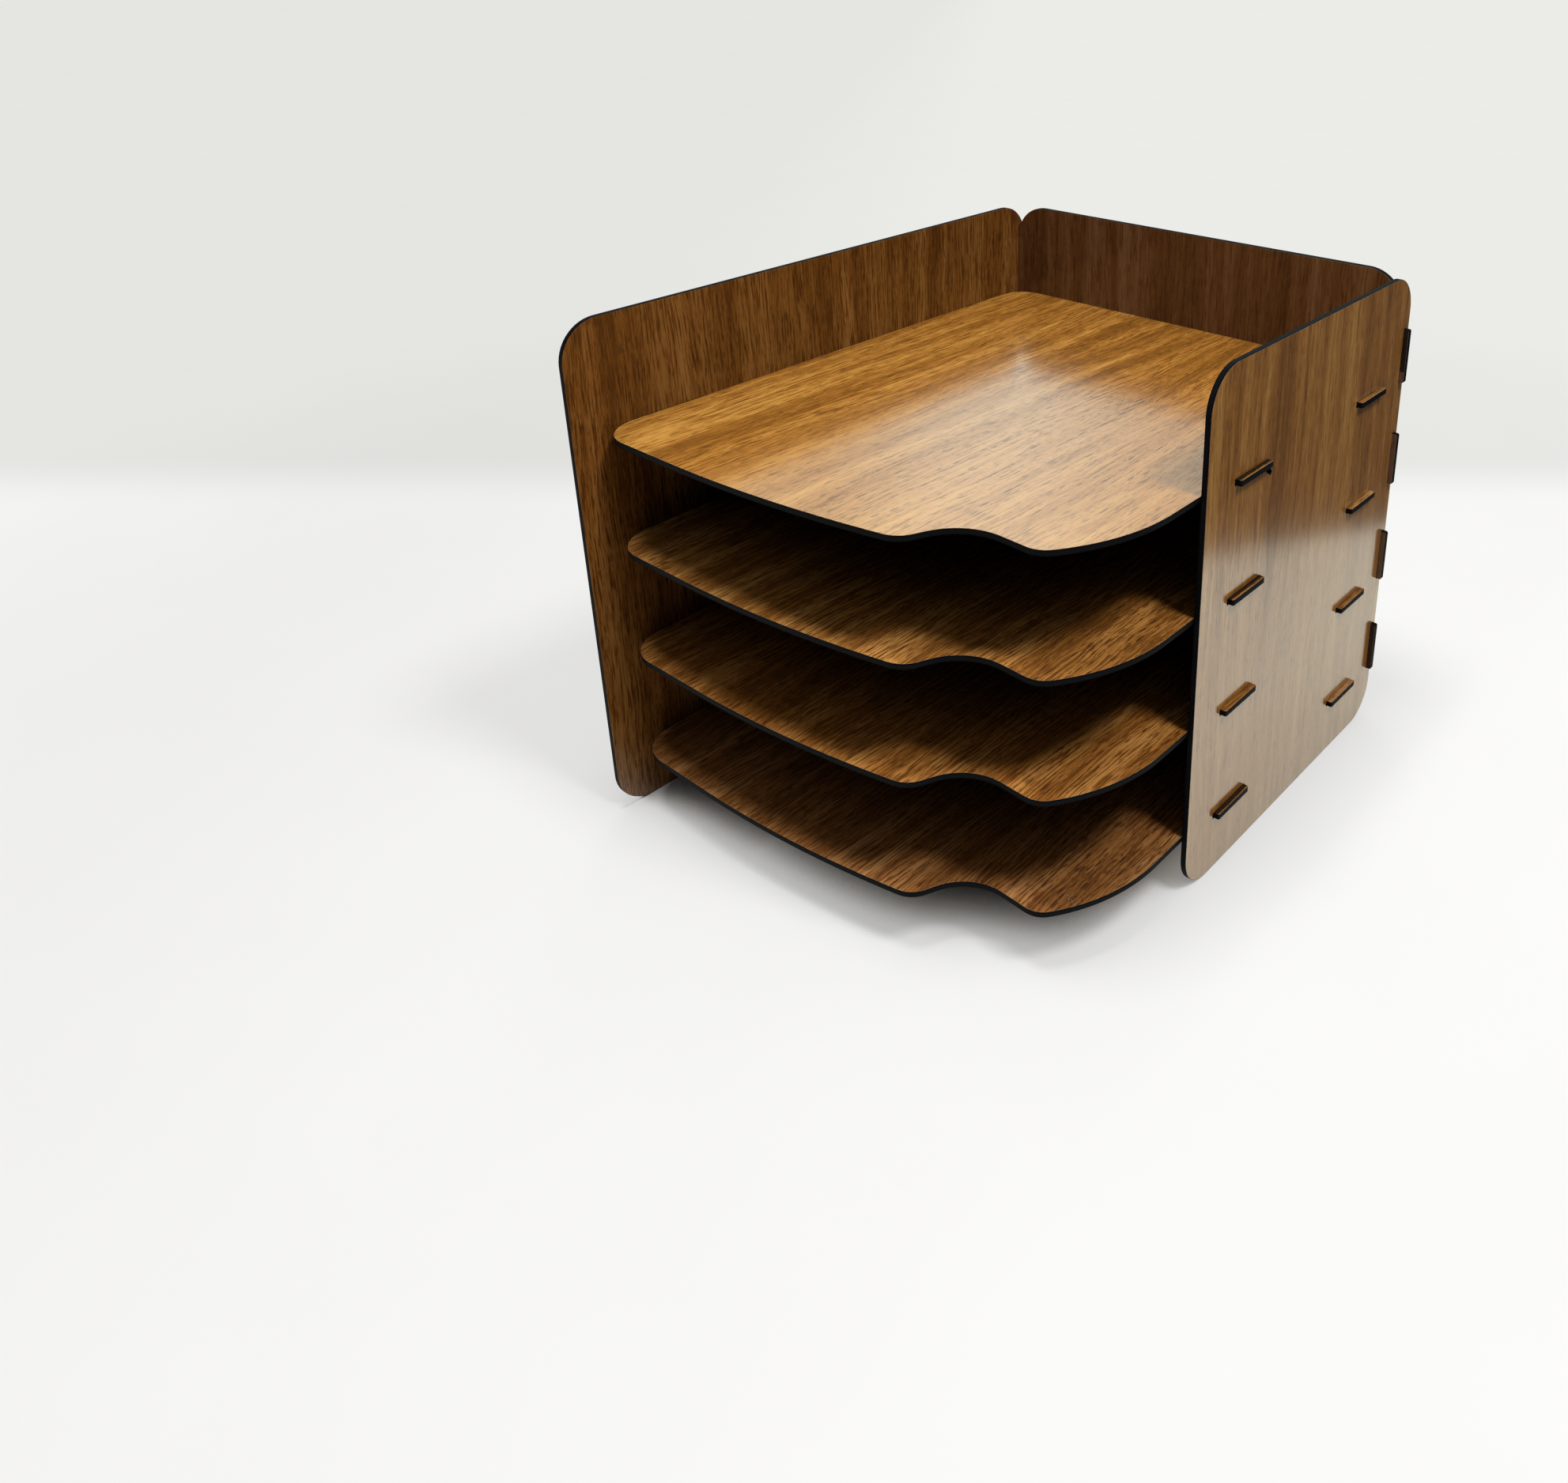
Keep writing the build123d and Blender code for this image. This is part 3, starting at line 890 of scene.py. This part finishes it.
def floorMaterial(s):
    # part painted floor, which takes the lamps' shadows, and part glow, dimmed by the stack
    material = bpy.data.materials.new("paleFloor")
    material.use_nodes = True
    tree = material.node_tree
    tree.nodes.clear()
    w = Wires(tree)
    place = w.node("ShaderNodeTexCoord").outputs["Object"]
    xyz = w.axes(place)
    path = w.node("ShaderNodeLightPath").outputs
    seen = path["Is Camera Ray"]
    shown, mirrored, bounced = floorColors(w, place, xyz, s)
    color = w.mix(seen, w.mix(mirrorRay(w, path), bounced, mirrored), shown)
    matt = w.node("ShaderNodeBsdfDiffuse", {"Color": color})
    openSky = w.node("ShaderNodeAmbientOcclusion", {"Distance": s["contactReach"]},
                     samples=s["contactSamples"]).outputs["AO"]
    under = w.ramp(openSky, *s["underBoard"], w.ramp(xyz[0], *s["underLight"]), 1.0)
    strength = w.times(w.math("POWER", openSky, w.ramp(xyz[0], *s["contactDepth"])), under)
    glowing = w.mix(seen, mirrored, shown)
    glowing = w.mix(under, w.mix(1.0, glowing, opaque(s["shadeTint"]), "MULTIPLY"), glowing)
    glow = w.node("ShaderNodeEmission", {"Color": glowing, "Strength": strength})
    away = w.node("ShaderNodeVectorMath", {0: place}, operation="LENGTH").outputs["Value"]
    glowShare = w.math("MAXIMUM", w.ramp(away, *s["glow"]), w.ramp(xyz[0], *s["rightGlow"]))
    share = w.times(w.math("MAXIMUM", seen, mirrorRay(w, path)), glowShare)
    mixed = w.node("ShaderNodeMixShader", {0: share, 1: matt.outputs[0], 2: glow.outputs[0]})
    w.node("ShaderNodeOutputMaterial", {"Surface": mixed.outputs[0]})
    return material


def makeFloor(s):
    half = s["size"] / 2
    corners = [(-half, -half, 0), (half, -half, 0), (half, half, 0), (-half, half, 0)]
    mesh = bpy.data.meshes.new("floor")
    mesh.from_pydata(corners, [], [(0, 1, 2, 3)])
    floor = bpy.data.objects.new("floor", mesh)
    bpy.context.scene.collection.objects.link(floor)
    floor.data.materials.append(floorMaterial(s))


room = {
    "surroundings": (0.97, 1.0, 0.98),
    "mirrored": (1.05, 1.36, 1.33),          # the pale room behind, as the gloss mirrors it
    "paleHeading": (-0.6, 0.8), "paleEdge": (0.35, 0.75),
    "brightHeading": 41.0,                   # degrees left of the back, where it's brightest
    # slope away from that heading, from and to, and the share of the light at each
    "fadeLeft": (-0.02, -0.16, 1.0, 0.5), "fadeRight": (0.02, 0.18, 1.0, 0.62),
    "leastAhead": 0.05,                      # keeps that slope finite at the sides
    "ambient": 0.37,                         # soft light from high up
    "ambientRise": (0.42, 0.85),             # it starts 25 degrees up and is full from 58 (sines)
}


def makeWorld(s):
    world = bpy.data.worlds.new("room")
    bpy.context.scene.world = world
    world.use_nodes = True
    tree = world.node_tree
    tree.nodes.clear()
    w = Wires(tree)
    path = w.node("ShaderNodeLightPath").outputs
    heading = w.axes(w.node("ShaderNodeTexCoord").outputs["Generated"])
    pale = w.ramp(w.levelDistance(heading, *s["paleHeading"]), *s["paleEdge"])
    mirrored = w.mix(pale, opaque(darkSide), opaque(s["mirrored"]))
    # brightest in one direction, and weaker on either side of it
    middle = math.radians(s["brightHeading"])
    ahead = w.levelDistance(heading, -math.sin(middle), math.cos(middle))
    aside = w.levelDistance(heading, math.cos(middle), math.sin(middle))
    slant = w.math("DIVIDE", aside, w.math("MAXIMUM", ahead, s["leastAhead"]))
    share = w.times(w.ramp(slant, *s["fadeLeft"]), w.ramp(slant, *s["fadeRight"]))
    mirrored = w.mix(share, black, mirrored)
    soft = w.mix(w.ramp(heading[2], *s["ambientRise"]), black, opaque([s["ambient"]] * 3))
    color = w.mix(path["Is Camera Ray"], soft, opaque(s["surroundings"]))
    color = w.mix(mirrorRay(w, path), color, mirrored)
    background = w.node("ShaderNodeBackground", {"Color": color, "Strength": 1.0})
    w.node("ShaderNodeOutputWorld", {"Surface": background.outputs[0]})


makeCamera(cameraPlace)
for name, lamp in lamps.items():
    makeLamp(name, lamp)
makeFloor(floorLook)
makeWorld(room)
bpy.context.scene.view_settings.view_transform = "Standard"
print("studio built")
